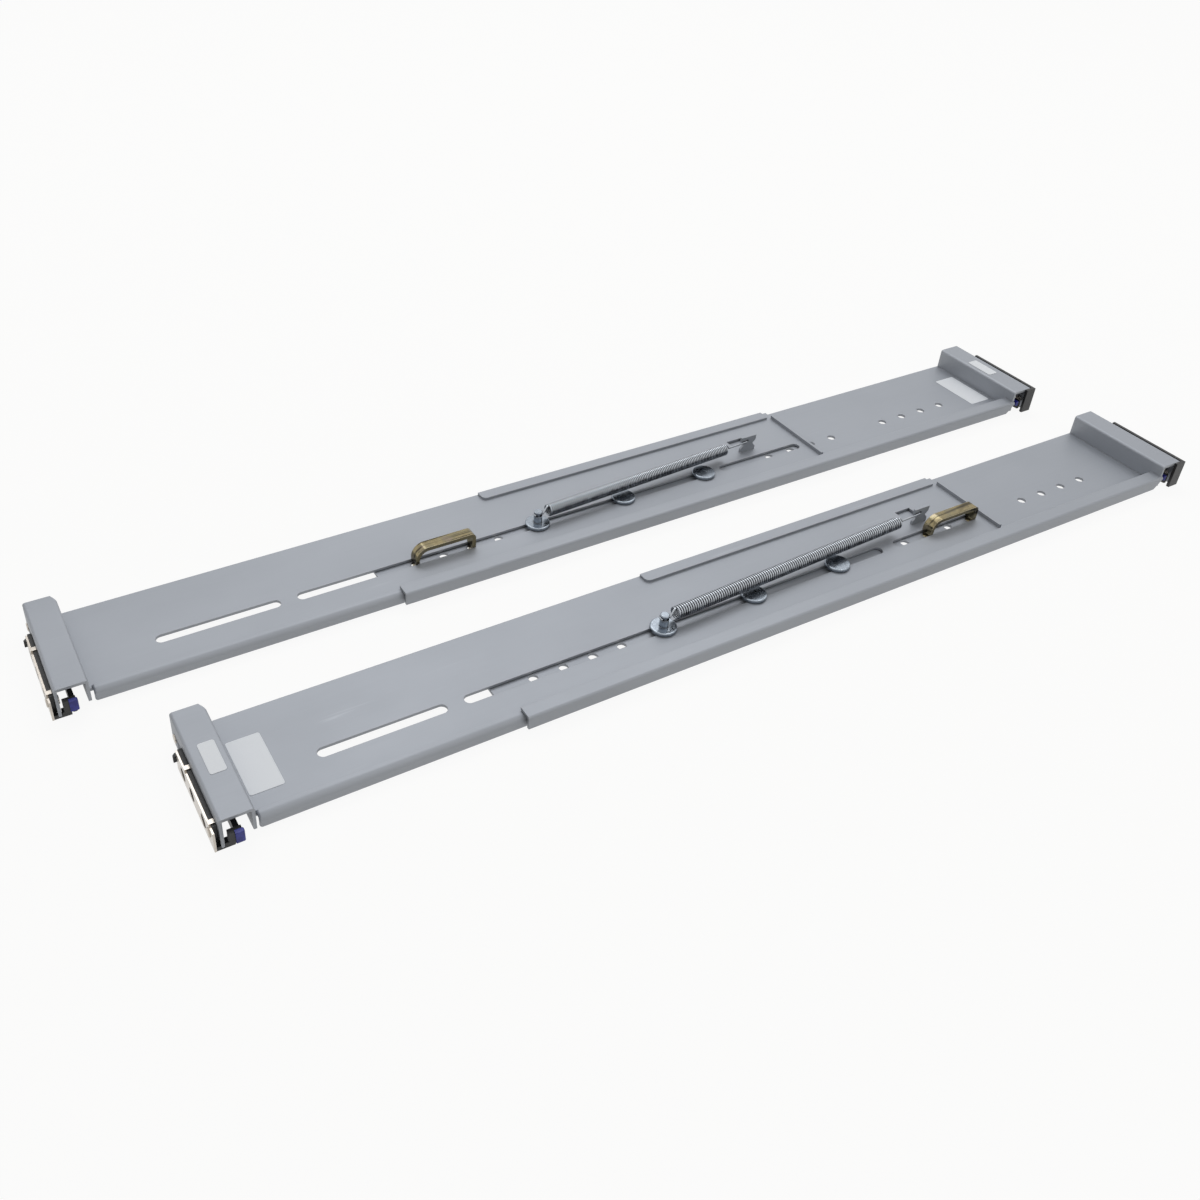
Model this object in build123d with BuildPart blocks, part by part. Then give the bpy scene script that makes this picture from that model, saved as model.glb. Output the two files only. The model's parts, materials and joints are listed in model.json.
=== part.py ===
from build123d import *
import os
from math import sqrt

os.makedirs("parts", exist_ok=True)

# Pair of telescoping rack mounting rails, in millimetres.
# Both rails lie side by side with the outer face up and the latch covers on the ground.
# X runs along the rails, Y from the near rail to the far one, +Z is up.
# The origin is at the bottom centre of the pair.
# Rail frame: X 0 is the front bracket's outer face, Y 0 the crease of the front section,
# Z 0 the upper face of its plate. The rear section's own X starts at its spring post.

# Sheet and fits
sheet = 1.5
slide_gap = 0.3
stop_gap = 0.3
running_gap = 0.3
bend_radius = 1.4

# End brackets and their rack flanges
bracket_top_z = 11.0
bracket_length = 15.6
bracket_near_y = -6.3
front_bracket_far_y = 62.5
flange_bottom_z = -5.4
bracket_cut_x = 2.4
bracket_cut_y = 4.6

# Front section
plate_far_y = 60.4
front_plate_end = 465.5
bead_width = 4.5
bead_height = 2.0
bead_bottom_z = -4.9
bead_radius = 3.2
bead_foot_radius = 1.2
bead_start_radius = 1.2
bead_start_gap = 1.8
slot_near_y = 16.6
slot_width = 6.0
first_slot_start = 52.4
first_slot_end = 116.7
long_slot_start = 125.7
long_slot_end = 387.8
last_slot_start = 397.4
last_slot_end = 459.0
hem_start = 252.2
hem_end = 461.0
hem_width = 6.9
hem_corner = 3.0
end_lip_height = 2.2
end_lip_near_y = 4.0
end_lip_far_gap = 7.0

# Spring tab, bent up from a window in the front section
tab_start = 420.0
tab_length = 11.0
tab_near_y = 29.0
tab_height = 10.3
tab_notch_depth = 2.2
tab_notch_low_z = 2.4
tab_notch_high_z = 7.2
tab_eye_start = 4.2
tab_eye_radius = 1.2
window_width = 13.7

# Rear section
rear_plate_start = -98.4
rear_plate_near_y = -1.2
rear_step_x = 353.0
channel_start = -94.0
channel_near_y = -7.5
channel_inner_y = 0.5
channel_bottom_z = -3.5
channel_end_cut = 6.0
joined_start = 268.0
slope_width = 5.4
hole_pitch = 17.0
holes_per_group = 4
hole_radius = 2.5
hole_group_starts = (-76.0, 167.0, 262.0)

# Guide rivets and the spring post
rivet_pitch = 58.0
rivet_count = 3
rivet_head_radius = 7.0
rivet_head_height = 1.8
rivet_rim = 0.7
rivet_shank_radius = 2.8
rivet_stem_radius = 2.0
rivet_tail_radius = 3.6
rivet_tail_height = 0.9
post_radius = 2.4
post_groove_radius = 1.4
post_groove_height = 1.8
post_cap_height = 1.2
post_cap_rim = 0.4

# Extension spring
spring_axis_z = 7.3
coil_radius = 3.6
wire_radius = 0.56
coil_count = 110
coil_groove_depth = 0.35
hook_radius = 2.3
hook_turn = 300
hook_lead = 6.5
spring_leg = 19.0
eye_reach = 4.4
eye_bend_radius = 1.2

# Retaining clip
clip_pitches = 2
near_clip_hole_number = 5
far_clip_hole_number = 0
clip_width = 6.4
clip_thickness = 2.2
clip_top_z = 9.4
clip_front_radius = 7.6
clip_rear_radius = 2.9
clip_foot_width = 4.2
clip_foot_thickness = 1.6
clip_foot_reach = 1.4

# Rack interface: three holes at the standard spacing at each end
first_hole_y = 7.6
wide_hole_step = 15.875
narrow_hole_step = 12.7
rack_hole_z = -1.3
rack_hole_radius = 3.3

# Latch housing, cover and their rivets
seat_gap = 0.1
housing_thickness = 1.9
housing_near_y = -3.2
housing_bottom_z = -5.7
housing_top_z = 5.2
housing_foot_near_y = -6.2
housing_foot_far_y = -2.8
housing_foot_x = 6.0
housing_foot_bottom_z = -6.3
housing_foot_top_z = -3.6
rear_housing_far_y = 59.6
rear_lip_far_y = 44.0
rear_wrap_thickness = 1.8
rear_wrap_x = 5.6
cover_thickness = 1.0
cover_bottom_z = -6.4
cover_top_z = 4.6
cover_near_y = -6.3
front_cover_far_y = 45.4
rear_cover_far_y = 60.7
latch_cut_near_y = 45.6
latch_cut_far_y = 54.0
latch_cut_top_z = 2.8
cover_tab_width = 2.6
cover_tab_thickness = 0.6
cover_tab_spots = (-1.6, 31.6)
cover_rivet_spots = (-0.4, 57.2)
cover_rivet_radius = 1.3
cover_rivet_head_radius = 2.2
cover_rivet_head_height = 0.7

# Release lever behind the flange
lever_x = 7.4
lever_thickness = 2.4
lever_height = 5.4
lever_bottom_z = -3.2
lever_pivot_y = 28.0
lever_boss_radius = 3.4
hook_near_y = 46.4
hook_far_y = 48.6
hook_top_z = 0.4
hook_reach = 1.2
front_paddle_near_y = -11.2
front_bar_near_y = -8.3
rear_bar_near_y = -6.0
paddle_gap = 1.2
rear_paddle_far_y = 4.0
paddle_inner_x = 2.6
paddle_middle_x = 5.2
paddle_step_y = -9.6
paddle_low_z = 0.4
paddle_high_z = 6.0
paddle_corner = 0.8
front_pad_outer_x = 9.2
rear_pad_low_z = -0.8
rear_pad_high_z = 2.4
touch_pad_thickness = 1.8
touch_pad_overhang = 0.5
pin_radius = 1.5
pin_fit = 0.1
pin_tail_height = 1.3
pin_tail_radius = 2.2
return_coil_radius = 2.7
return_wire_radius = 0.45
return_coil_turns = 4

# Guide pads in the rear section's channel
pad_length = 24.0
pad_thickness = 1.2
pad_bottom_z = -3.2
pad_top_z = 1.6
pad_spots = (-60.0, 40.0, 150.0)

# Bare labels
label_thickness = 0.15
label_corner = 1.2
bracket_label_size = (7.6, 19.5)
bracket_label_spot = (8.8, 28.8)
plate_label_size = (16.0, 34.0)
plate_label_spot = (26.2, 27.1)

# How the pair lies
far_rail_x = -42.0
far_rail_y = 106.0

# Worked out from the sizes above
slot_centre_y = slot_near_y + slot_width / 2
under_plate_top_z = -sheet - slide_gap
under_plate_bottom_z = under_plate_top_z - sheet
channel_top_z = bead_height + slide_gap + sheet
cover_outer_x = -seat_gap - housing_thickness - cover_thickness
lever_back_x = lever_x + lever_thickness / 2
rear_end_x = rear_step_x + bracket_length
rivet_spots = [rivet_pitch * k for k in range(rivet_count)]
rear_holes = [
    start + hole_pitch * k for start in hole_group_starts for k in range(holes_per_group)
]
rack_hole_spots = (
    first_hole_y,
    first_hole_y + wide_hole_step,
    first_hole_y + wide_hole_step + narrow_hole_step,
)

# The far rail stands at full extension, its last rivet against the long slot's end.
# The near rail is held short by its clip, one foot against the last slot's end.
slot_end_loss = slot_width / 2 - sqrt((slot_width / 2) ** 2 - (clip_foot_width / 2) ** 2)
far_extension = long_slot_end - rivet_shank_radius - stop_gap - rivet_spots[-1]
near_clip_foot = rear_holes[near_clip_hole_number + clip_pitches] + clip_foot_thickness / 2
near_extension = last_slot_end - slot_end_loss - stop_gap - near_clip_foot

hook_tip_x = cover_outer_x - hook_reach
pair_low_x = min(hook_tip_x, far_rail_x + hook_tip_x)
pair_high_x = rear_end_x - hook_tip_x + max(near_extension, far_rail_x + far_extension)
pair_low_y = front_paddle_near_y - touch_pad_overhang
pair_high_y = far_rail_y + front_bracket_far_y
near_origin = (-(pair_low_x + pair_high_x) / 2, -(pair_low_y + pair_high_y) / 2, -cover_bottom_z)
far_origin = (near_origin[0] + far_rail_x, near_origin[1] + far_rail_y, near_origin[2])

on_floor_side = (Align.CENTER, Align.CENTER, Align.MIN)


def box_between(low, high, mode=Mode.ADD):
    """A box between two corners, in the part being built."""
    size = [b - a for a, b in zip(low, high)]
    middle = [(a + b) / 2 for a, b in zip(low, high)]
    with Locations(tuple(middle)):
        Box(*size, mode=mode)


def cut_bracket_openings(face_x):
    """Rack holes, rivet holes and latch window, through all that stands at a rack face."""
    reach = sheet - cover_outer_x
    for spots, radius, z in (
        (rack_hole_spots, rack_hole_radius, rack_hole_z),
        (cover_rivet_spots, cover_rivet_radius, 0),
    ):
        with Locations(*[Location((face_x, y, z), (0, 90, 0)) for y in spots]):
            Cylinder(radius, 2 * reach, mode=Mode.SUBTRACT)
    box_between(
        (face_x - reach, latch_cut_near_y, cover_bottom_z - sheet),
        (face_x + reach, latch_cut_far_y, latch_cut_top_z),
        Mode.SUBTRACT,
    )


def round_bracket_top(section):
    """Bend radius along the two long edges of a bracket's top."""
    long_edges = section.edges().filter_by(Axis.Y).group_by(Axis.Z)[-1]
    fillet(long_edges, bend_radius)


def build_front_section():
    """Front sheet: raised bracket, slotted plate, rolled near edge, hem and spring tab."""
    wall_x = bracket_length - sheet
    tab_end = tab_start + tab_length
    with BuildPart() as section:
        # Raised bracket with its rack flange
        box_between(
            (0, bracket_near_y, bracket_top_z - sheet),
            (bracket_length, front_bracket_far_y, bracket_top_z),
        )
        box_between(
            (wall_x, bracket_near_y, -sheet),
            (bracket_length, plate_far_y - bracket_cut_y, bracket_top_z),
        )
        box_between(
            (0, bracket_near_y, flange_bottom_z),
            (sheet, front_bracket_far_y, bracket_top_z),
        )
        round_bracket_top(section)
        with BuildSketch(Plane.XY.offset(bracket_top_z - 2 * sheet)):
            with BuildLine():
                Polyline(
                    (bracket_length - bracket_cut_x, front_bracket_far_y),
                    (bracket_length, front_bracket_far_y - bracket_cut_y),
                    (bracket_length, front_bracket_far_y),
                    close=True,
                )
            make_face()
        extrude(amount=3 * sheet, mode=Mode.SUBTRACT)
        cut_bracket_openings(0)

        # Plate with its slots and the spring tab's window
        with BuildSketch(Plane.XY.offset(-sheet)):
            with Locations(((wall_x + front_plate_end) / 2, plate_far_y / 2)):
                Rectangle(front_plate_end - wall_x, plate_far_y)
            for start, end in (
                (first_slot_start, first_slot_end),
                (long_slot_start, long_slot_end),
                (last_slot_start, last_slot_end),
            ):
                with Locations(((start + end) / 2, slot_centre_y)):
                    SlotOverall(end - start, slot_width, mode=Mode.SUBTRACT)
            with Locations(((tab_start + tab_end) / 2, tab_near_y + window_width / 2)):
                Rectangle(tab_length, window_width, mode=Mode.SUBTRACT)
        extrude(amount=sheet)

        # Rolled near edge
        bead_start = bracket_length + bead_start_gap
        with BuildSketch(Plane.YZ.offset(bead_start)) as bead:
            with BuildLine():
                Polyline(
                    (sheet, 0),
                    (0, bead_height),
                    (-bead_width, bead_height),
                    (-bead_width, bead_bottom_z),
                    (sheet - bead_width, bead_bottom_z),
                    (sheet - bead_width, bead_height - sheet),
                    (-sheet / 2, bead_height - sheet),
                    (sheet / 2, -sheet),
                    (sheet, -sheet),
                    close=True,
                )
            make_face()
            outer_corner = bead.vertices().group_by(Axis.X)[0].sort_by(Axis.Y)[-1]
            fillet(outer_corner, bead_radius)
            low_corner = bead.vertices().group_by(Axis.X)[0].sort_by(Axis.Y)[0]
            fillet(low_corner, bead_foot_radius)
        extrude(amount=front_plate_end - bead_start)
        start_edges = section.edges().filter_by(Axis.Z).group_by(Axis.Y)[1]
        start_edges = [e for e in start_edges if e.center().X < bead_start + sheet]
        fillet(start_edges, bead_start_radius)

        # Hem along the far edge, and the lip across the plate's end
        with BuildSketch() as hem:
            with Locations(((hem_start + hem_end) / 2, plate_far_y - hem_width / 2)):
                Rectangle(hem_end - hem_start, hem_width)
            fillet(hem.vertices().group_by(Axis.X)[0].sort_by(Axis.Y)[0], hem_corner)
        extrude(amount=sheet)
        box_between(
            (front_plate_end - sheet, end_lip_near_y, -sheet),
            (front_plate_end, plate_far_y - end_lip_far_gap, end_lip_height),
        )

        # Spring tab
        notch_middle_z = (tab_notch_low_z + tab_notch_high_z) / 2
        with BuildSketch(Plane.XZ.offset(-tab_near_y - sheet)):
            with BuildLine():
                Polyline(
                    (tab_start, -sheet),
                    (tab_end, -sheet),
                    (tab_end, tab_notch_low_z),
                    (tab_end - tab_notch_depth, notch_middle_z),
                    (tab_end, tab_notch_high_z),
                    (tab_end, tab_height),
                    (tab_start, tab_height),
                    (tab_start, tab_notch_high_z),
                    (tab_start + tab_notch_depth, notch_middle_z),
                    (tab_start, tab_notch_low_z),
                    close=True,
                )
            make_face()
            with Locations((tab_start + tab_eye_start, spring_axis_z)):
                Circle(tab_eye_radius, mode=Mode.SUBTRACT)
        extrude(amount=sheet)
    return section.part


def build_rear_section():
    """Rear sheet: plate under the front one, channel over its rolled edge, raised bracket."""
    wall_end_x = rear_step_x + sheet
    with BuildPart() as section:
        # Raised bracket with its rack flange
        box_between(
            (rear_step_x, bracket_near_y, bracket_top_z - sheet),
            (rear_end_x, plate_far_y, bracket_top_z),
        )
        box_between(
            (rear_step_x, bracket_near_y, under_plate_bottom_z),
            (wall_end_x, plate_far_y, bracket_top_z),
        )
        box_between(
            (rear_end_x - sheet, bracket_near_y, flange_bottom_z),
            (rear_end_x, plate_far_y, bracket_top_z),
        )
        round_bracket_top(section)
        cut_bracket_openings(rear_end_x)

        # Plate with its adjusting holes
        with BuildSketch(Plane.XY.offset(under_plate_bottom_z)):
            for start, end, near_y in (
                (rear_plate_start, joined_start, rear_plate_near_y),
                (joined_start, wall_end_x, slope_width),
            ):
                with Locations(((start + end) / 2, (near_y + plate_far_y) / 2)):
                    Rectangle(end - start, plate_far_y - near_y)
            with Locations(*[(x, slot_centre_y) for x in rear_holes]):
                Circle(hole_radius, mode=Mode.SUBTRACT)
            with Locations(*[(x, slot_centre_y) for x in rivet_spots]):
                Circle(rivet_stem_radius, mode=Mode.SUBTRACT)
        extrude(amount=sheet)

        # Channel over the front section's rolled edge
        with BuildSketch(Plane.YZ.offset(channel_start)) as channel:
            with BuildLine():
                Polyline(
                    (channel_inner_y, channel_top_z),
                    (channel_near_y, channel_top_z),
                    (channel_near_y, channel_bottom_z),
                    (channel_near_y + sheet, channel_bottom_z),
                    (channel_near_y + sheet, channel_top_z - sheet),
                    (channel_inner_y, channel_top_z - sheet),
                    close=True,
                )
            make_face()
            outer_corner = channel.vertices().group_by(Axis.X)[0].sort_by(Axis.Y)[-1]
            fillet(outer_corner, bend_radius)
        extrude(amount=wall_end_x - channel_start)

        # Past the front section's travel the plate rises to join the channel
        with BuildSketch(Plane.YZ.offset(joined_start)):
            with BuildLine():
                Polyline(
                    (slope_width, under_plate_top_z),
                    (channel_inner_y, channel_top_z),
                    (channel_inner_y - sheet, channel_top_z),
                    (channel_inner_y - sheet, channel_top_z - sheet),
                    (slope_width - sheet, under_plate_bottom_z),
                    (slope_width, under_plate_bottom_z),
                    close=True,
                )
            make_face()
        extrude(amount=wall_end_x - joined_start)

        # The channel's wall is cut off at a slant under the bracket
        with BuildSketch(Plane.XZ.offset(-channel_near_y - sheet)):
            with BuildLine():
                Polyline(
                    (wall_end_x, channel_bottom_z),
                    (wall_end_x, channel_bottom_z + channel_end_cut),
                    (wall_end_x - channel_end_cut, channel_bottom_z),
                    close=True,
                )
            make_face()
        extrude(amount=sheet, mode=Mode.SUBTRACT)
    return section.part


def build_front_housing():
    """Black latch housing on the front flange's outer face, with a foot under its near end."""
    with BuildPart() as housing:
        box_between(
            (-seat_gap - housing_thickness, housing_near_y, housing_bottom_z),
            (-seat_gap, front_cover_far_y, housing_top_z),
        )
        box_between(
            (-seat_gap - housing_thickness, housing_foot_near_y, housing_foot_bottom_z),
            (-seat_gap, housing_near_y + sheet, housing_bottom_z + sheet),
        )
        box_between(
            (-seat_gap - housing_thickness, housing_foot_near_y, housing_foot_bottom_z),
            (housing_foot_x, housing_foot_far_y, housing_bottom_z),
        )
        box_between(
            (sheet + slide_gap, housing_foot_near_y, housing_foot_bottom_z),
            (housing_foot_x, housing_foot_far_y, housing_foot_top_z),
        )
        cut_bracket_openings(0)
    return housing.part


def build_rear_housing():
    """Black latch housing of the rear flange, with a high lip that wraps the near end."""
    outer_x = -seat_gap - housing_thickness
    wrap_y = bracket_near_y - seat_gap
    with BuildPart() as housing:
        box_between(
            (outer_x, wrap_y, housing_bottom_z),
            (-seat_gap, rear_housing_far_y, housing_top_z),
        )
        box_between((outer_x, wrap_y, housing_top_z), (-seat_gap, rear_lip_far_y, bracket_top_z))
        box_between(
            (outer_x, wrap_y - rear_wrap_thickness, housing_bottom_z),
            (rear_wrap_x, wrap_y, bracket_top_z),
        )
        cut_bracket_openings(0)
    return housing.part


def build_cover(far_y):
    """Plated cover over the housing, with the rack holes and two folded tabs."""
    inner_x = cover_outer_x + cover_thickness
    tab_top_z = housing_top_z + cover_tab_thickness
    with BuildPart() as cover:
        box_between(
            (cover_outer_x, cover_near_y, cover_bottom_z),
            (inner_x, far_y, cover_top_z),
        )
        cut_bracket_openings(0)
        if far_y < rear_cover_far_y:
            for y in cover_tab_spots:
                box_between(
                    (cover_outer_x, y, cover_top_z),
                    (inner_x, y + cover_tab_width, tab_top_z),
                )
                box_between(
                    (cover_outer_x, y, housing_top_z),
                    (-seat_gap, y + cover_tab_width, tab_top_z),
                )
    return cover.part


def build_cover_rivets(outer_faces):
    """Rivets of the flange, each headed on the face that lies outermost at its place."""
    outside = (Align.CENTER, Align.CENTER, Align.MAX)
    with BuildPart() as rivets:
        for y, outer_x in zip(cover_rivet_spots, outer_faces):
            with Locations(Location((outer_x, y, 0), (0, 90, 0))):
                Cylinder(cover_rivet_radius, sheet - outer_x, align=on_floor_side)
                Cylinder(cover_rivet_head_radius, cover_rivet_head_height, align=outside)
            rims = rivets.edges().filter_by(GeomType.CIRCLE)
            rims = rims.filter_by_position(Axis.Y, y - sheet, y + sheet)
            fillet(rims.group_by(Axis.X)[0], cover_rivet_head_height * 0.6)
        with Locations(*[Location((sheet, y, 0), (0, 90, 0)) for y in cover_rivet_spots]):
            Cylinder(cover_rivet_head_radius, cover_rivet_head_height, align=on_floor_side)
    return rivets.part


def build_lever(near_y):
    """Release lever: hook at the far end, bar to the bracket's near end, paddle if it sticks out."""
    bar_front_x = lever_x - lever_thickness / 2
    top_z = lever_bottom_z + lever_height
    paddle_far_y = bracket_near_y - paddle_gap
    with BuildPart() as lever:
        box_between((bar_front_x, near_y, lever_bottom_z), (lever_back_x, hook_far_y, top_z))
        box_between(
            (hook_tip_x, hook_near_y, lever_bottom_z),
            (bar_front_x, hook_far_y, hook_top_z),
        )
        hook_edge = lever.edges().filter_by(Axis.Z).group_by(Axis.X)[0].sort_by(Axis.Y)[-1]
        chamfer(hook_edge, hook_reach)
        near_edges = lever.edges().filter_by(Axis.Z).group_by(Axis.Y)[0]
        fillet(near_edges, paddle_corner)
        if near_y < paddle_far_y:
            box_between(
                (paddle_inner_x, paddle_step_y, paddle_low_z),
                (lever_back_x, paddle_far_y, paddle_high_z),
            )
            box_between(
                (paddle_inner_x, front_paddle_near_y, paddle_low_z),
                (paddle_middle_x, paddle_step_y, paddle_high_z),
            )
        with Locations((lever_x, lever_pivot_y, lever_bottom_z)):
            Cylinder(lever_boss_radius, lever_height, align=on_floor_side)
            Cylinder(pin_radius + pin_fit, lever_height, align=on_floor_side, mode=Mode.SUBTRACT)
    return lever.part


def build_touch_pad(low, high):
    """Blue touch pad on the lever's near end, with softened edges."""
    with BuildPart() as touch_pad:
        box_between(low, high)
        fillet(touch_pad.faces().sort_by(Axis.X)[-1].edges(), touch_pad_thickness / 3)
    return touch_pad.part


def build_pivot_pin():
    """Pin under the bracket's top that carries the lever and its return spring."""
    tail_z = lever_bottom_z - running_gap - pin_tail_height
    with BuildPart() as pin:
        with Locations((lever_x, lever_pivot_y, tail_z)):
            Cylinder(pin_radius, bracket_top_z - sheet - tail_z, align=on_floor_side)
            Cylinder(pin_tail_radius, pin_tail_height, align=on_floor_side)
        chamfer(pin.faces().sort_by(Axis.Z)[0].edges(), pin_tail_height / 4)
    return pin.part


def build_return_spring():
    """Torsion spring above the lever, with one leg against the bracket's step."""
    low_z = lever_bottom_z + lever_height + running_gap + return_wire_radius
    high_z = bracket_top_z - sheet - running_gap - return_wire_radius
    pitch = (high_z - low_z) / return_coil_turns
    with BuildPart() as spring:
        with BuildLine() as turns:
            Helix(pitch, high_z - low_z, return_coil_radius, center=(lever_x, lever_pivot_y, low_z))
        with BuildSketch(Plane(origin=turns.line @ 0, z_dir=turns.line % 0)):
            Circle(return_wire_radius)
        sweep(is_frenet=True)
        leg_start = turns.line @ 0
        leg_length = bracket_length - sheet - running_gap - leg_start.X
        with Locations(Location((leg_start.X, leg_start.Y, leg_start.Z), (0, 90, 0))):
            Cylinder(return_wire_radius, leg_length, align=on_floor_side)
    return spring.part


def build_guide_rivets(spots):
    """Large-headed guide rivets: stem in the rear plate, shoulder in the long slot."""
    levels = (
        (rivet_tail_radius, under_plate_bottom_z - rivet_tail_height, under_plate_bottom_z),
        (rivet_stem_radius, under_plate_bottom_z, under_plate_top_z),
        (rivet_shank_radius, under_plate_top_z, slide_gap),
        (rivet_head_radius, slide_gap, slide_gap + rivet_head_height),
    )
    with BuildPart() as rivets:
        for radius, low_z, high_z in levels:
            with Locations(*[(x, slot_centre_y, low_z) for x in spots]):
                Cylinder(radius, high_z - low_z, align=on_floor_side)
        fillet(rivets.faces().group_by(Axis.Z)[-1].edges(), rivet_rim)
    return rivets.part


def build_spring_post():
    """The first guide rivet, with a grooved post for the spring's hook."""
    head_top_z = slide_gap + rivet_head_height
    groove_low_z = spring_axis_z - post_groove_height / 2
    groove_high_z = spring_axis_z + post_groove_height / 2
    levels = (
        (post_radius, head_top_z, groove_low_z),
        (post_groove_radius, groove_low_z, groove_high_z),
        (post_radius, groove_high_z, groove_high_z + post_cap_height),
    )
    with BuildPart() as post:
        add(build_guide_rivets([0]))
        for radius, low_z, high_z in levels:
            with Locations((0, slot_centre_y, low_z)):
                Cylinder(radius, high_z - low_z, align=on_floor_side)
        chamfer(post.faces().sort_by(Axis.Z)[-1].edges(), post_cap_rim)
    return post.part


def build_extension_spring(extension):
    """Extension spring: a hook round the post, close coils, and a leg through the tab's eye."""
    post_end = Vector(0, slot_centre_y, spring_axis_z)
    eye_x = tab_start + tab_eye_start - extension
    tab_end = Vector(eye_x, tab_near_y - wire_radius, spring_axis_z)
    reach = (tab_end - post_end).length
    coil_end = reach - spring_leg
    pitch = (coil_end - hook_lead) / coil_count
    groove_radius = coil_radius - coil_groove_depth
    with BuildPart() as spring:
        with BuildSketch(Plane.XZ):
            with BuildLine():
                outline = [(hook_lead, 0), (hook_lead, groove_radius)]
                for turn in range(coil_count):
                    outline.append((hook_lead + pitch * (turn + 0.3), coil_radius))
                    outline.append((hook_lead + pitch * (turn + 0.7), coil_radius))
                    outline.append((hook_lead + pitch * (turn + 1), groove_radius))
                outline.append((coil_end, 0))
                Polyline(*outline, close=True)
            make_face()
        revolve(axis=Axis.X)
        with BuildLine() as hook:
            CenterArc((0, 0), hook_radius, (360 - hook_turn) / 2, hook_turn)
        with BuildSketch(Plane(origin=hook.line @ 0, z_dir=hook.line % 0)):
            Circle(wire_radius)
        sweep(path=hook.line)
        with Locations(Location((hook_radius, 0, 0), (0, 90, 0))):
            Cylinder(wire_radius, hook_lead - hook_radius, align=on_floor_side)
        box_between(
            (hook_radius - wire_radius, -hook_radius / 2, -wire_radius),
            (hook_radius + wire_radius, hook_radius / 2, wire_radius),
        )
        with BuildLine() as leg:
            FilletPolyline(
                (coil_end, 0, 0), (reach, 0, 0), (reach, eye_reach, 0), radius=eye_bend_radius
            )
        with BuildSketch(Plane(origin=leg.line @ 0, z_dir=leg.line % 0)):
            Circle(wire_radius)
        sweep(path=leg.line)
    lie = Plane(origin=post_end, x_dir=tab_end - post_end, z_dir=(0, 0, 1))
    return spring.part.moved(lie.location)


def build_clip(first_hole):
    """Retaining clip: a bent strap whose two narrow feet stand in holes of the rear plate."""
    front_x = rear_holes[first_hole]
    rear_x = rear_holes[first_hole + clip_pitches]
    half = clip_thickness / 2
    outlines = (
        (half, clip_top_z, clip_front_radius, clip_rear_radius, Mode.ADD),
        (-half, clip_top_z - clip_thickness, clip_front_radius - clip_thickness,
         clip_rear_radius - clip_thickness, Mode.SUBTRACT),
    )
    with BuildPart() as clip:
        with BuildSketch(Plane.XZ.offset(-slot_centre_y)):
            for grow, top_z, front_radius, rear_radius, mode in outlines:
                with BuildSketch(mode=mode) as outline:
                    with Locations(((front_x + rear_x) / 2, (slide_gap + top_z) / 2)):
                        Rectangle(rear_x - front_x + 2 * grow, top_z - slide_gap)
                    upper = outline.vertices().group_by(Axis.Y)[-1].sort_by(Axis.X)
                    fillet(upper[0], front_radius)
                    upper = outline.vertices().group_by(Axis.Y)[-1].sort_by(Axis.X)
                    fillet(upper[-1], rear_radius)
        extrude(amount=clip_width / 2, both=True)
        for x in (front_x, rear_x):
            box_between(
                (
                    x - clip_foot_thickness / 2,
                    slot_centre_y - clip_foot_width / 2,
                    under_plate_bottom_z - clip_foot_reach,
                ),
                (
                    x + clip_foot_thickness / 2,
                    slot_centre_y + clip_foot_width / 2,
                    slide_gap + sheet / 2,
                ),
            )
    return clip.part


def build_guide_pads():
    """Slippery pads on the inside of the channel's wall."""
    wall_y = channel_near_y + sheet
    with BuildPart() as pads:
        for x in pad_spots:
            box_between(
                (x - pad_length / 2, wall_y, pad_bottom_z),
                (x + pad_length / 2, wall_y + pad_thickness, pad_top_z),
            )
    return pads.part


def build_label(size, spot, z):
    """A bare label with rounded corners."""
    with BuildPart() as label:
        with BuildSketch(Plane.XY.offset(z)):
            with Locations(spot):
                RectangleRounded(*size, label_corner)
        extrude(amount=label_thickness)
    return label.part


def at_rear(piece):
    """A piece of the front end's hardware, turned over to the rear section's end."""
    return mirror(piece, about=Plane.YZ).moved(Location((rear_end_x, 0, 0)))


def save(piece, name, origin, extension=0.0):
    """Place a piece in the pair, label it and write it out."""
    placed = piece.moved(Location((origin[0] + extension, origin[1], origin[2])))
    placed.label = name
    export_step(placed, f"parts/{name}.step")


front_section = build_front_section()
rear_section = build_rear_section()
guide_rivets = build_guide_rivets(rivet_spots[1:])
spring_post = build_spring_post()
guide_pads = build_guide_pads()
pivot_pin = build_pivot_pin()
return_spring = build_return_spring()
front_hardware = {
    "latch_housing": build_front_housing(),
    "latch_cover": build_cover(front_cover_far_y),
    "cover_rivets": build_cover_rivets((cover_outer_x, 0)),
    "release_lever": build_lever(front_bar_near_y),
    "touch_pad": build_touch_pad(
        (paddle_middle_x, front_paddle_near_y - touch_pad_overhang, paddle_low_z),
        (front_pad_outer_x, paddle_step_y, paddle_high_z + touch_pad_overhang),
    ),
    "pivot_pin": pivot_pin,
    "return_spring": return_spring,
}
rear_hardware = {
    "latch_housing": build_rear_housing(),
    "latch_cover": build_cover(rear_cover_far_y),
    "cover_rivets": build_cover_rivets((cover_outer_x, cover_outer_x)),
    "release_lever": build_lever(rear_bar_near_y),
    "touch_pad": build_touch_pad(
        (lever_back_x, rear_bar_near_y, rear_pad_low_z),
        (lever_back_x + touch_pad_thickness, rear_paddle_far_y, rear_pad_high_z),
    ),
    "pivot_pin": pivot_pin,
    "return_spring": return_spring,
}

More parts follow.
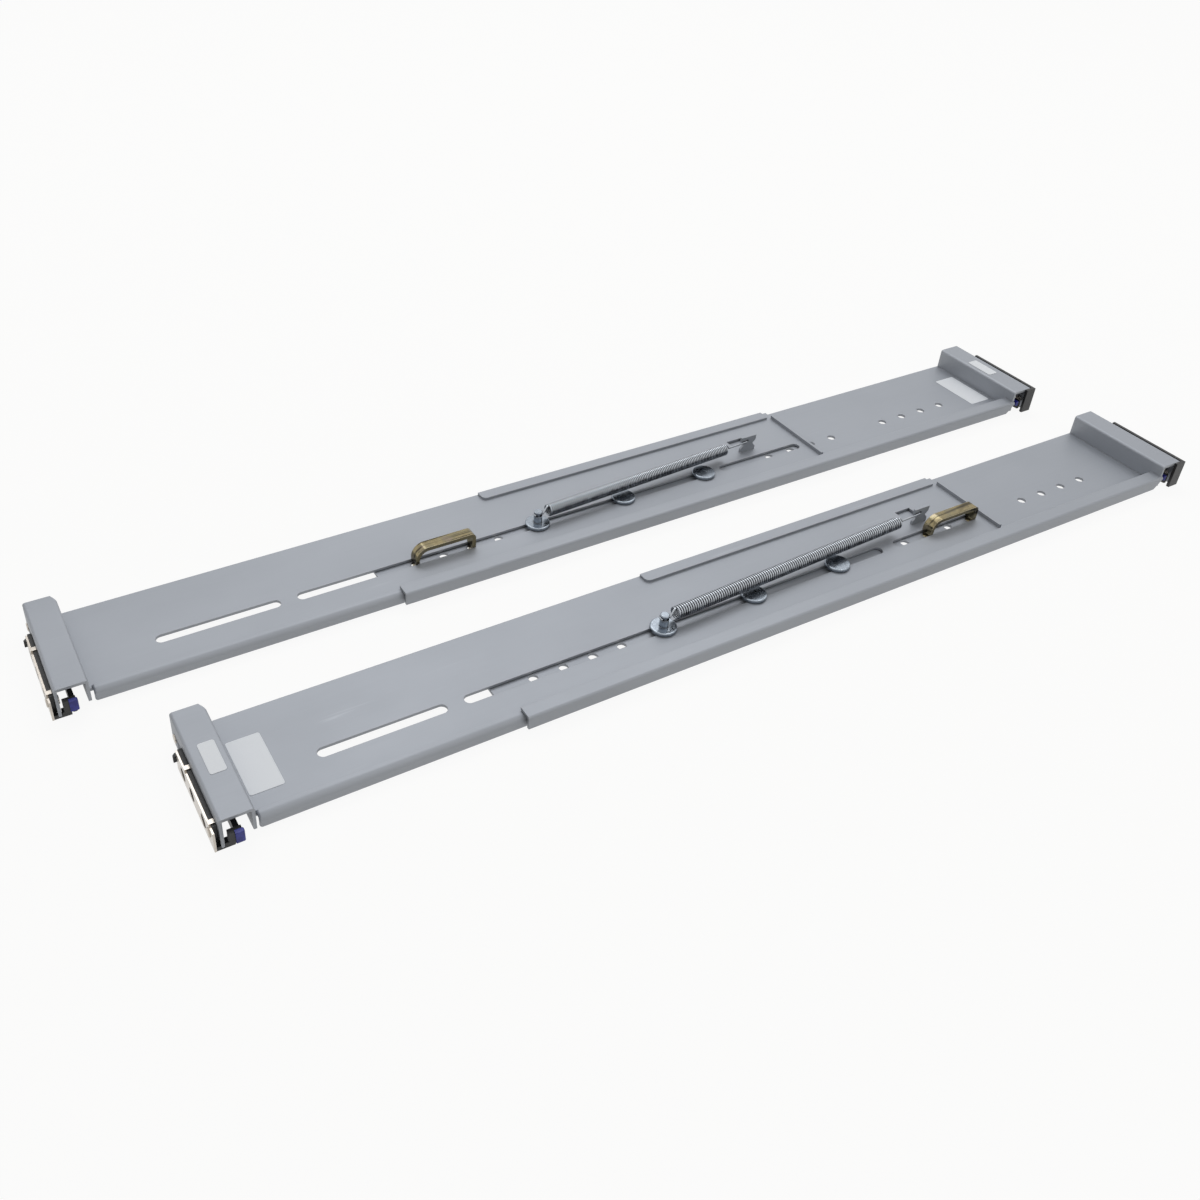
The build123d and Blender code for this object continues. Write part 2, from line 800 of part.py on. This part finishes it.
for rail, origin, extension, clip_hole in (
    ("near", near_origin, near_extension, near_clip_hole_number),
    ("far", far_origin, far_extension, far_clip_hole_number),
):
    save(front_section, f"{rail}_front_section", origin)
    save(rear_section, f"{rail}_rear_section", origin, extension)
    save(guide_rivets, f"{rail}_guide_rivets", origin, extension)
    save(spring_post, f"{rail}_spring_post", origin, extension)
    save(guide_pads, f"{rail}_guide_pads", origin, extension)
    save(build_clip(clip_hole), f"{rail}_retaining_clip", origin, extension)
    save(build_extension_spring(extension), f"{rail}_extension_spring", origin, extension)
    for name, piece in front_hardware.items():
        save(piece, f"{rail}_front_{name}", origin)
    for name, piece in rear_hardware.items():
        save(at_rear(piece), f"{rail}_rear_{name}", origin, extension)

# The labels are at the front of the near rail and at the rear of the far one
bracket_label = build_label(bracket_label_size, bracket_label_spot, bracket_top_z)
save(bracket_label, "near_bracket_label", near_origin)
save(at_rear(bracket_label), "far_bracket_label", far_origin, far_extension)
save(build_label(plate_label_size, plate_label_spot, 0), "near_plate_label", near_origin)
far_plate_label = build_label(plate_label_size, plate_label_spot, under_plate_top_z)
save(at_rear(far_plate_label), "far_plate_label", far_origin, far_extension)

print("extensions", round(near_extension, 2), round(far_extension, 2))
print("near origin", near_origin, "far origin", far_origin)
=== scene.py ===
import json
import math

import bmesh
import bpy
from mathutils import Matrix, Vector


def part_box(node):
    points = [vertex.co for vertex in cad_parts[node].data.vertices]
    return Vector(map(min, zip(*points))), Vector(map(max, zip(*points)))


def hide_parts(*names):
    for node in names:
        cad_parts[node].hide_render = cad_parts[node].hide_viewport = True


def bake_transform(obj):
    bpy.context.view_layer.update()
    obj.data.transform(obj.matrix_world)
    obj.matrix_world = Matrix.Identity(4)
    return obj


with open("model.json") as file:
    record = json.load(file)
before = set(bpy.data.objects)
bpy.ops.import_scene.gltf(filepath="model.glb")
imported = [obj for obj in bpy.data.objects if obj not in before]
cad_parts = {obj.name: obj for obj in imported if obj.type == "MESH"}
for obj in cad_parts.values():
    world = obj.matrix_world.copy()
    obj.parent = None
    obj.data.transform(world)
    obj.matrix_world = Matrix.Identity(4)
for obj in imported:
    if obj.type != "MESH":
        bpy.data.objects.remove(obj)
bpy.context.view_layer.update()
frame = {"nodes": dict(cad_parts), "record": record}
nodes = frame["nodes"]

MM = 0.001


# Node helpers

class Finish:
    """One procedural material: its nodes, links and Principled shader."""

    def __init__(self, name, **constants):
        self.material = bpy.data.materials.new(name)
        self.material.use_nodes = True
        self.tree = self.material.node_tree
        self.tree.nodes.clear()
        self.output = self.tree.nodes.new("ShaderNodeOutputMaterial")
        self.shader = self.tree.nodes.new("ShaderNodeBsdfPrincipled")
        self.tree.links.new(self.shader.outputs[0], self.output.inputs[0])
        coordinates = self.tree.nodes.new("ShaderNodeTexCoord")
        self.place = coordinates.outputs["Object"]
        for socket, value in constants.items():
            self.shader.inputs[socket.replace("_", " ")].default_value = value

    def node(self, kind, settings=None, **inputs):
        """A node with its settings, and its inputs set or linked by name, or by number as in i0."""
        made = self.tree.nodes.new(kind)
        for key, value in (settings or {}).items():
            setattr(made, key, value)
        for key, value in inputs.items():
            socket = made.inputs[int(key[1:]) if key[1:].isdigit() else key.replace("_", " ")]
            if isinstance(value, bpy.types.NodeSocket):
                self.tree.links.new(value, socket)
            else:
                socket.default_value = value
        return made

    def noise(self, per_metre, detail=3.0, roughness=0.55, stretch=(1, 1, 1)):
        """Noise with that many cells per metre, stretched by dividing its rate along an axis."""
        place = self.place
        if stretch != (1, 1, 1):
            place = self.node("ShaderNodeMapping", Vector=place, Scale=stretch).outputs[0]
        made = self.node(
            "ShaderNodeTexNoise", Vector=place, Scale=per_metre, Detail=detail, Roughness=roughness
        )
        return made.outputs[0]

    def spread(self, value, low, high, to_low=0.0, to_high=1.0):
        """The value's stretch from low to high, spread over another stretch."""
        made = self.node("ShaderNodeMapRange", i0=value, i1=low, i2=high, i3=to_low, i4=to_high)
        return made.outputs[0]

    def math(self, operation, a, b):
        """A sum on two values, kept between 0 and 1."""
        settings = {"operation": operation, "use_clamp": True}
        return self.node("ShaderNodeMath", settings, i0=a, i1=b).outputs[0]

    def blend(self, amount, a, b):
        """A colour between a and b."""
        made = self.node("ShaderNodeMix", {"data_type": "RGBA"}, i0=amount, i6=rgba(a), i7=rgba(b))
        return made.outputs[2]

    def edges(self, radius=0.3 * MM):
        """Rounded-edge normal, and how much a point is on a sharp edge."""
        rounded = self.node("ShaderNodeBevel", {"samples": 4}, Radius=radius).outputs[0]
        flat = self.node("ShaderNodeNewGeometry").outputs["Normal"]
        alike = self.node("ShaderNodeVectorMath", {"operation": "DOT_PRODUCT"}, i0=rounded, i1=flat)
        return rounded, self.spread(alike.outputs["Value"], 0.995, 0.86)

    def bump(self, heights, normal=None):
        """Stacked bumps from (height, strength, distance) onto a normal."""
        for height, strength, distance in heights:
            made = self.node("ShaderNodeBump", Height=height, Strength=strength, Distance=distance)
            if normal is not None:
                self.tree.links.new(normal, made.inputs["Normal"])
            normal = made.outputs[0]
        self.tree.links.new(normal, self.shader.inputs["Normal"])

    def colour(self, socket):
        """Link the base colour."""
        self.tree.links.new(socket, self.shader.inputs["Base Color"])

    def rough(self, socket):
        """Link the roughness."""
        self.tree.links.new(socket, self.shader.inputs["Roughness"])


def rgba(value):
    """A colour socket as it is, or a linear colour with its alpha."""
    if isinstance(value, bpy.types.NodeSocket):
        return value
    return (*value, 1.0)


def rail_steel():
    """Zinc-grey coated sheet: grain, rolling marks, scuffs, worn edges, and painted shade darkening
    narrow gaps.
    """
    f = Finish("rail_steel", Metallic=0.45, IOR=1.5)
    cloud = f.spread(f.noise(9, 4), 0.3, 0.7)
    rolled = f.spread(f.noise(1400, 2, stretch=(0.012, 1, 1)), 0.35, 0.65)
    grain = f.noise(3200, 2)
    scuff = f.spread(f.noise(420, 2, 0.5, stretch=(0.04, 1, 1)), 0.68, 0.74)
    patches = f.spread(f.noise(22, 2), 0.5, 0.62)
    scuff = f.math("MULTIPLY", scuff, patches)
    rounded, edge = f.edges()
    worn = f.math("MULTIPLY", edge, f.spread(f.noise(160, 3), 0.35, 0.6, 0.25, 0.8))
    base = f.blend(cloud, (0.348, 0.366, 0.402), (0.372, 0.391, 0.428))
    base = f.blend(f.math("MULTIPLY", rolled, 0.14), base, (0.320, 0.338, 0.372))
    base = f.blend(f.math("MULTIPLY", scuff, 0.18), base, (0.50, 0.52, 0.55))
    base = f.blend(worn, base, (0.56, 0.57, 0.58))
    # Painted shade: ambient occlusion darkens the colour in narrow gaps and recesses, where light
    # is blocked.
    painted_gap_shade = f.node("ShaderNodeAmbientOcclusion", {"samples": 8}, Distance=2.2 * MM).outputs["AO"]
    f.colour(f.blend(f.spread(painted_gap_shade, 0.22, 0.62), (0.045, 0.046, 0.048), base))
    smear = f.spread(f.noise(16, 4, stretch=(0.5, 1, 1)), 0.3, 0.7, 0.46, 0.56)
    f.rough(f.math("SUBTRACT", smear, f.math("MULTIPLY", scuff, 0.08)))
    f.bump([(grain, 0.10, 0.05 * MM), (rolled, 0.05, 0.05 * MM), (cloud, 0.25, 0.4 * MM)], rounded)
    return f.material


def nickel_plate():
    """Bright warm nickel with smudges, fine wipe marks and dark tarnish specks."""
    f = Finish("nickel_plate", Metallic=1.0)
    smudge = f.spread(f.noise(70, 4), 0.35, 0.65)
    wipe = f.spread(f.noise(2600, 2, stretch=(1, 0.03, 1)), 0.4, 0.62)
    speck = f.spread(f.noise(900, 1), 0.70, 0.76)
    rounded, edge = f.edges(0.25 * MM)
    base = f.blend(smudge, (0.47, 0.43, 0.385), (0.58, 0.535, 0.48))
    base = f.blend(f.math("MULTIPLY", speck, 0.5), base, (0.20, 0.17, 0.14))
    f.colour(f.blend(f.math("MULTIPLY", edge, 0.5), base, (0.80, 0.78, 0.74)))
    f.rough(f.spread(smudge, 0, 1, 0.17, 0.33))
    f.bump([(wipe, 0.05, 0.03 * MM), (smudge, 0.1, 0.2 * MM)], rounded)
    return f.material


def black_plastic():
    """Moulded black plastic: fine spark-eroded grain, greyer worn edges, a little dust."""
    f = Finish("black_plastic", IOR=1.5)
    grain = f.noise(2200, 3)
    dust = f.spread(f.noise(45, 4), 0.5, 0.7)
    rounded, edge = f.edges()
    base = f.blend(f.math("MULTIPLY", dust, 0.5), (0.012, 0.012, 0.013), (0.030, 0.029, 0.027))
    f.colour(f.blend(f.math("MULTIPLY", edge, 0.6), base, (0.060, 0.060, 0.062)))
    f.rough(f.spread(grain, 0.3, 0.7, 0.34, 0.52))
    f.bump([(grain, 0.12, 0.06 * MM)], rounded)
    return f.material


def blue_plastic():
    """Blue moulded touch pad, polished where fingers press it."""
    f = Finish("blue_plastic", IOR=1.5)
    grain = f.noise(1900, 3)
    rubbed = f.spread(f.noise(260, 3), 0.4, 0.65)
    rounded, edge = f.edges()
    base = f.blend(rubbed, (0.010, 0.013, 0.20), (0.018, 0.025, 0.33))
    f.colour(f.blend(f.math("MULTIPLY", edge, 0.4), base, (0.07, 0.09, 0.56)))
    f.rough(f.spread(rubbed, 0, 1, 0.42, 0.28))
    f.bump([(grain, 0.10, 0.05 * MM)], rounded)
    return f.material


def white_plastic():
    """Milky slippery plastic with faint flow lines and grey rub marks."""
    f = Finish("white_plastic", IOR=1.5, Subsurface_Weight=0.2, Subsurface_Scale=0.6 * MM)
    flow = f.spread(f.noise(300, 3, stretch=(0.2, 1, 1)), 0.35, 0.65)
    rub = f.spread(f.noise(90, 3), 0.55, 0.7)
    rounded, edge = f.edges()
    base = f.blend(flow, (0.66, 0.66, 0.63), (0.74, 0.74, 0.71))
    f.colour(f.blend(f.math("MULTIPLY", rub, 0.4), base, (0.42, 0.42, 0.42)))
    f.rough(f.spread(flow, 0, 1, 0.38, 0.5))
    f.bump([(flow, 0.06, 0.05 * MM)], rounded)
    return f.material


def zinc_steel():
    """Bluish zinc plate over turned heads: faint spangle, pits and bright rims."""
    f = Finish("zinc_steel", Metallic=1.0)
    spangle = f.node("ShaderNodeTexVoronoi", Vector=f.place, Scale=900.0).outputs["Color"]
    spangle = f.node("ShaderNodeSeparateColor", Color=spangle).outputs[0]
    stain = f.spread(f.noise(190, 4), 0.35, 0.7)
    turned = f.noise(2400, 2)
    rounded, edge = f.edges(0.25 * MM)
    base = f.blend(spangle, (0.28, 0.315, 0.36), (0.37, 0.41, 0.46))
    base = f.blend(f.math("MULTIPLY", stain, 0.35), base, (0.22, 0.24, 0.26))
    # Painted shade: ambient occlusion darkens the colour in hollows and narrow gaps around the
    # heads.
    painted_gap_shade = f.node("ShaderNodeAmbientOcclusion", {"samples": 6}, Distance=2.0 * MM).outputs["AO"]
    base = f.blend(f.math("MULTIPLY", edge, 0.35), base, (0.70, 0.72, 0.74))
    f.colour(f.blend(f.spread(painted_gap_shade, 0.30, 0.85), (0.05, 0.05, 0.055), base))
    f.rough(f.spread(stain, 0, 1, 0.18, 0.30))
    f.bump([(turned, 0.10, 0.05 * MM)], rounded)
    return f.material


def spring_steel():
    """Drawn spring wire: painted shade darkening the downward flanks so the crowns stay bright,
    painted shade in the gaps between the coils, die streaks.
    """
    f = Finish("spring_steel", Metallic=1.0)
    streak = f.spread(f.noise(1800, 2), 0.35, 0.65)
    stain = f.spread(f.noise(60, 4), 0.35, 0.7)
    painted_gap_shade = f.node("ShaderNodeAmbientOcclusion", {"samples": 6}, Distance=0.7 * MM).outputs["AO"]
    base = f.blend(streak, (0.42, 0.45, 0.49), (0.52, 0.55, 0.59))
    base = f.blend(f.math("MULTIPLY", stain, 0.25), base, (0.30, 0.31, 0.33))
    # Painted shade: the downward-facing flanks of the wire are darkened, mottled by noise, leaving
    # the tops bright.
    normal = f.node("ShaderNodeNewGeometry").outputs["Normal"]
    upward = f.node("ShaderNodeSeparateXYZ", Vector=normal).outputs[2]
    painted_underside_shade = f.spread(upward, 0.80, 0.25)
    mottle = f.spread(f.noise(420, 3), 0.35, 0.62, 0.35, 0.95)
    base = f.blend(f.math("MULTIPLY", painted_underside_shade, mottle), base, (0.08, 0.083, 0.09))
    # Painted shade: ambient occlusion darkens the colour in the narrow gaps between the coils.
    f.colour(f.blend(f.spread(painted_gap_shade, 0.50, 0.97), (0.03, 0.03, 0.033), base))
    f.rough(f.spread(stain, 0, 1, 0.12, 0.20))
    f.bump([(streak, 0.06, 0.03 * MM)])
    return f.material


def bronze_plate():
    """Yellow-passivated strap: drifting olive, gold and violet tints, worn bright at its edges."""
    f = Finish("bronze_plate", Metallic=1.0)
    drift = f.noise(110, 4)
    tints = f.node("ShaderNodeValToRGB", i0=drift)
    ramp = tints.color_ramp
    stops = (
        (0.32, (0.15, 0.125, 0.075)), (0.45, (0.29, 0.24, 0.135)),
        (0.56, (0.24, 0.21, 0.13)), (0.68, (0.26, 0.215, 0.16)),
    )
    while len(ramp.elements) < len(stops):
        ramp.elements.new(0.5)
    for element, (spot, tint) in zip(ramp.elements, stops):
        element.position = spot
        element.color = rgba(tint)
    mark = f.spread(f.noise(2400, 2, stretch=(0.06, 1, 1)), 0.45, 0.62)
    stripe = f.spread(f.noise(520, 2, stretch=(0.03, 1, 0.4)), 0.50, 0.60)
    rounded, edge = f.edges(0.35 * MM)
    base = f.blend(f.math("MULTIPLY", stripe, 0.85), tints.outputs[0], (0.045, 0.038, 0.026))
    f.colour(f.blend(f.math("MULTIPLY", edge, 0.55), base, (0.72, 0.64, 0.48)))
    f.rough(f.spread(f.noise(240, 3), 0.3, 0.7, 0.12, 0.24))
    f.bump([(mark, 0.06, 0.04 * MM)], rounded)
    return f.material


def label_paper():
    """Blank label film: faint fibre, tiny creases, a slightly lifted grey rim."""
    f = Finish("label_paper", IOR=1.45)
    fibre = f.noise(2600, 4)
    crease = f.spread(f.noise(120, 2, stretch=(1, 0.3, 1)), 0.62, 0.66)
    rounded, edge = f.edges(0.2 * MM)
    base = f.blend(f.spread(fibre, 0.3, 0.7), (0.86, 0.88, 0.93), (0.91, 0.93, 0.96))
    f.colour(f.blend(f.math("MULTIPLY", edge, 0.5), base, (0.56, 0.58, 0.62)))
    f.rough(f.spread(fibre, 0.3, 0.7, 0.35, 0.5))
    f.bump([(fibre, 0.08, 0.03 * MM), (crease, 0.15, 0.08 * MM)], rounded)
    return f.material


finishes = {
    make.__name__: make()
    for make in (
        rail_steel, nickel_plate, black_plastic, blue_plastic, white_plastic,
        zinc_steel, spring_steel, bronze_plate, label_paper,
    )
}
for part in frame["record"]["subparts"]:
    made = nodes[part["node"]]
    made.data.materials.clear()
    made.data.materials.append(finishes[part["material_slot"]])


# Springs

SPRING_AXIS_Z = 13.7 * MM
WIRE = 0.56 * MM
COIL_RADIUS = 3.6 * MM - WIRE
COIL_COUNT = 110
HOOK_RADIUS = 2.3 * MM
HOOK_LEAD = 6.5 * MM
SPRING_LEG = 19 * MM
EYE_BEND = 1.2 * MM
EYE_REACH = 4.4 * MM
EYE_SPOT = Vector((424.2, 34.7)) * MM
HOOK_START = 210
HOOK_SWEEP = 240
HOOK_STEPS = 24
COIL_END_RUN = 4 * MM
BEND_STEPS = 6
TURN_STEPS = 18
WIRE_SIDES = 8


def ease(t):
    """0 to 1 with a level start and end."""
    return t * t * (3 - 2 * t)


def tube(name, path, radius, sides):
    """A capped round wire along a path of points, with no twist."""
    mesh = bmesh.new()
    rings = []
    across = None
    for i, point in enumerate(path):
        ahead = path[min(i + 1, len(path) - 1)] - path[max(i - 1, 0)]
        ahead.normalize()
        if across is None:
            across = ahead.orthogonal()
        across = (across - ahead * across.dot(ahead)).normalized()
        side = ahead.cross(across)
        turns = [2 * math.pi * k / sides for k in range(sides)]
        rings.append([
            mesh.verts.new(point + radius * (math.cos(a) * across + math.sin(a) * side))
            for a in turns
        ])
    for a, b in zip(rings, rings[1:]):
        for k in range(sides):
            mesh.faces.new((a[k], a[(k + 1) % sides], b[(k + 1) % sides], b[k]))
    mesh.faces.new(list(reversed(rings[0])))
    mesh.faces.new(rings[-1])
    data = bpy.data.meshes.new(name)
    mesh.to_mesh(data)
    mesh.free()
    for polygon in data.polygons:
        polygon.use_smooth = True
    made = bpy.data.objects.new(name, data)
    bpy.context.scene.collection.objects.link(made)
    return made


def spring_path(reach, pitch):
    """Wire of an extension spring along X: hook, close coils, long leg, turn through the eye."""
    path = []
    for k in range(HOOK_STEPS + 1):
        turn = math.radians(HOOK_START - HOOK_SWEEP * k / HOOK_STEPS)
        path.append(Vector((HOOK_RADIUS * math.cos(turn), HOOK_RADIUS * math.sin(turn), 0)))
    hook_end = path[-1].copy()
    for k in range(1, BEND_STEPS + 1):
        t = k / BEND_STEPS
        path.append(Vector((
            hook_end.x + (HOOK_LEAD - hook_end.x) * t,
            hook_end.y * (1 - ease(t)),
            COIL_RADIUS * ease(t),
        )))
    for k in range(1, COIL_COUNT * TURN_STEPS + 1):
        turn = 2 * math.pi * k / TURN_STEPS
        path.append(Vector((
            HOOK_LEAD + pitch * k / TURN_STEPS,
            COIL_RADIUS * math.sin(turn),
            COIL_RADIUS * math.cos(turn),
        )))
    end = HOOK_LEAD + pitch * COIL_COUNT
    for k in range(1, BEND_STEPS + 1):
        t = k / BEND_STEPS
        path.append(Vector((end + COIL_END_RUN * t, 0, COIL_RADIUS * (1 - ease(t)))))
    for k in range(BEND_STEPS + 1):
        turn = math.pi / 2 * k / BEND_STEPS
        path.append(Vector((
            reach - EYE_BEND + EYE_BEND * math.sin(turn), EYE_BEND * (1 - math.cos(turn)), 0
        )))
    path.append(Vector((reach, EYE_REACH, 0)))
    return path


def extension_spring(rail):
    """The wound spring of one rail, stretched by the rail's own travel."""
    low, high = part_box(f"{rail}_spring_post")
    post = Vector(((low.x + high.x) / 2, (low.y + high.y) / 2, SPRING_AXIS_Z))
    low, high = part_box(f"{rail}_front_section")
    eye = Vector((low.x + EYE_SPOT.x, low.y + EYE_SPOT.y, SPRING_AXIS_Z))
    along = eye - post
    length = along.length
    pitch = (length - HOOK_LEAD - SPRING_LEG) / COIL_COUNT
    made = tube(f"{rail}_wound_spring", spring_path(length, pitch), WIRE, WIRE_SIDES)
    turn = Matrix.Rotation(math.atan2(along.y, along.x), 4, "Z")
    made.data.transform(Matrix.Translation(post) @ turn)
    made.data.materials.append(finishes["spring_steel"])
    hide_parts(f"{rail}_extension_spring")
    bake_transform(made)


for rail in ("near", "far"):
    extension_spring(rail)


# Floor, light and camera

FLOOR_SIZE = 14
FLOOR_LIFT = 0.92
HORIZON_TINT = (0.84, 0.81, 0.70)
ZENITH_TINT = (0.94, 0.97, 1.0)
LIGHT_RISE = {"From Min": 0.0, "From Max": 0.9, "To Min": 0.16, "To Max": 0.62}


def plain_view(tree):
    """1 for the rays that show the background itself: camera, glossy and transmission rays."""
    path = tree.nodes.new("ShaderNodeLightPath")
    seen_by = path.outputs["Is Camera Ray"]
    for kind in ("Is Glossy Ray", "Is Transmission Ray"):
        either = tree.nodes.new("ShaderNodeMath")
        either.operation = "MAXIMUM"
        tree.links.new(seen_by, either.inputs[0])
        tree.links.new(path.outputs[kind], either.inputs[1])
        seen_by = either.outputs[0]
    return seen_by


def pale_floor():
    """A plain pale floor, lifted towards white where it is seen, with soft shadows kept."""
    f = Finish("pale_floor", Roughness=0.9)
    tone = f.spread(f.noise(30, 2), 0.3, 0.7)
    f.colour(f.blend(tone, (0.84, 0.82, 0.74), (0.86, 0.84, 0.77)))
    white = f.node("ShaderNodeEmission", Strength=1.0)
    lift = f.math("MULTIPLY", plain_view(f.tree), FLOOR_LIFT)
    mixed = f.node("ShaderNodeMixShader", i0=lift, i1=f.shader.outputs[0], i2=white.outputs[0])
    f.tree.links.new(mixed.outputs[0], f.output.inputs[0])
    return f.material


bpy.ops.mesh.primitive_plane_add(size=FLOOR_SIZE)
floor = bpy.context.object
floor.name = "floor"
floor.data.materials.append(pale_floor())

# The world: white where it is seen, and a light on the rest that grows from the horizon up
world = bpy.data.worlds.new("studio")
bpy.context.scene.world = world
world.use_nodes = True
sky = world.node_tree
sky.nodes.clear()
sky_output = sky.nodes.new("ShaderNodeOutputWorld")
mixed = sky.nodes.new("ShaderNodeMixShader")
seen = sky.nodes.new("ShaderNodeBackground")
lit = sky.nodes.new("ShaderNodeBackground")
seen.inputs["Color"].default_value = (1, 1, 1, 1)
place = sky.nodes.new("ShaderNodeTexCoord")
split = sky.nodes.new("ShaderNodeSeparateXYZ")
height = sky.nodes.new("ShaderNodeMapRange")
tint = sky.nodes.new("ShaderNodeMix")
tint.data_type = "RGBA"
tint.inputs[6].default_value = rgba(HORIZON_TINT)
tint.inputs[7].default_value = rgba(ZENITH_TINT)
for socket, value in LIGHT_RISE.items():
    height.inputs[socket].default_value = value
sky.links.new(place.outputs["Generated"], split.inputs[0])
sky.links.new(split.outputs["Z"], height.inputs["Value"])
sky.links.new(split.outputs["Z"], tint.inputs[0])
sky.links.new(tint.outputs[2], lit.inputs["Color"])
sky.links.new(height.outputs[0], lit.inputs["Strength"])
sky.links.new(plain_view(sky), mixed.inputs[0])
sky.links.new(lit.outputs[0], mixed.inputs[1])
sky.links.new(seen.outputs[0], mixed.inputs[2])
sky.links.new(mixed.outputs[0], sky_output.inputs[0])


def lamp(name, place, aim, size, watts, colour):
    """A soft area lamp aimed at a point."""
    data = bpy.data.lights.new(name, "AREA")
    data.shape = "RECTANGLE"
    data.size, data.size_y = size
    data.energy = watts
    data.color = colour
    made = bpy.data.objects.new(name, data)
    bpy.context.scene.collection.objects.link(made)
    made.location = place
    made.rotation_euler = (Vector(aim) - Vector(place)).to_track_quat("-Z", "Y").to_euler()


lamp("key", (0.45, 0.9, 1.5), (0.1, 0, 0), (1.8, 0.7), 9.0, (0.97, 0.985, 1.0))
lamp("fill", (0.7, -1.2, 1.3), (0.05, 0, 0), (1.2, 1.2), 2.2, (1.0, 0.98, 0.92))

camera_data = bpy.data.cameras.new("camera")
camera = bpy.data.objects.new("camera", camera_data)
bpy.context.scene.collection.objects.link(camera)
camera_data.sensor_width = 36.0
camera_data.lens = 36.4879
camera_data.shift_x = 0.06667
camera_data.shift_y = -0.08333
camera_data.clip_start = 0.01
camera.location = (-0.35104, -0.42364, 0.41010)
camera.rotation_euler = [math.radians(a) for a in (55.0709, -2.2162, -29.4302)]
bpy.context.scene.camera = camera
bpy.context.scene.view_settings.view_transform = "Standard"
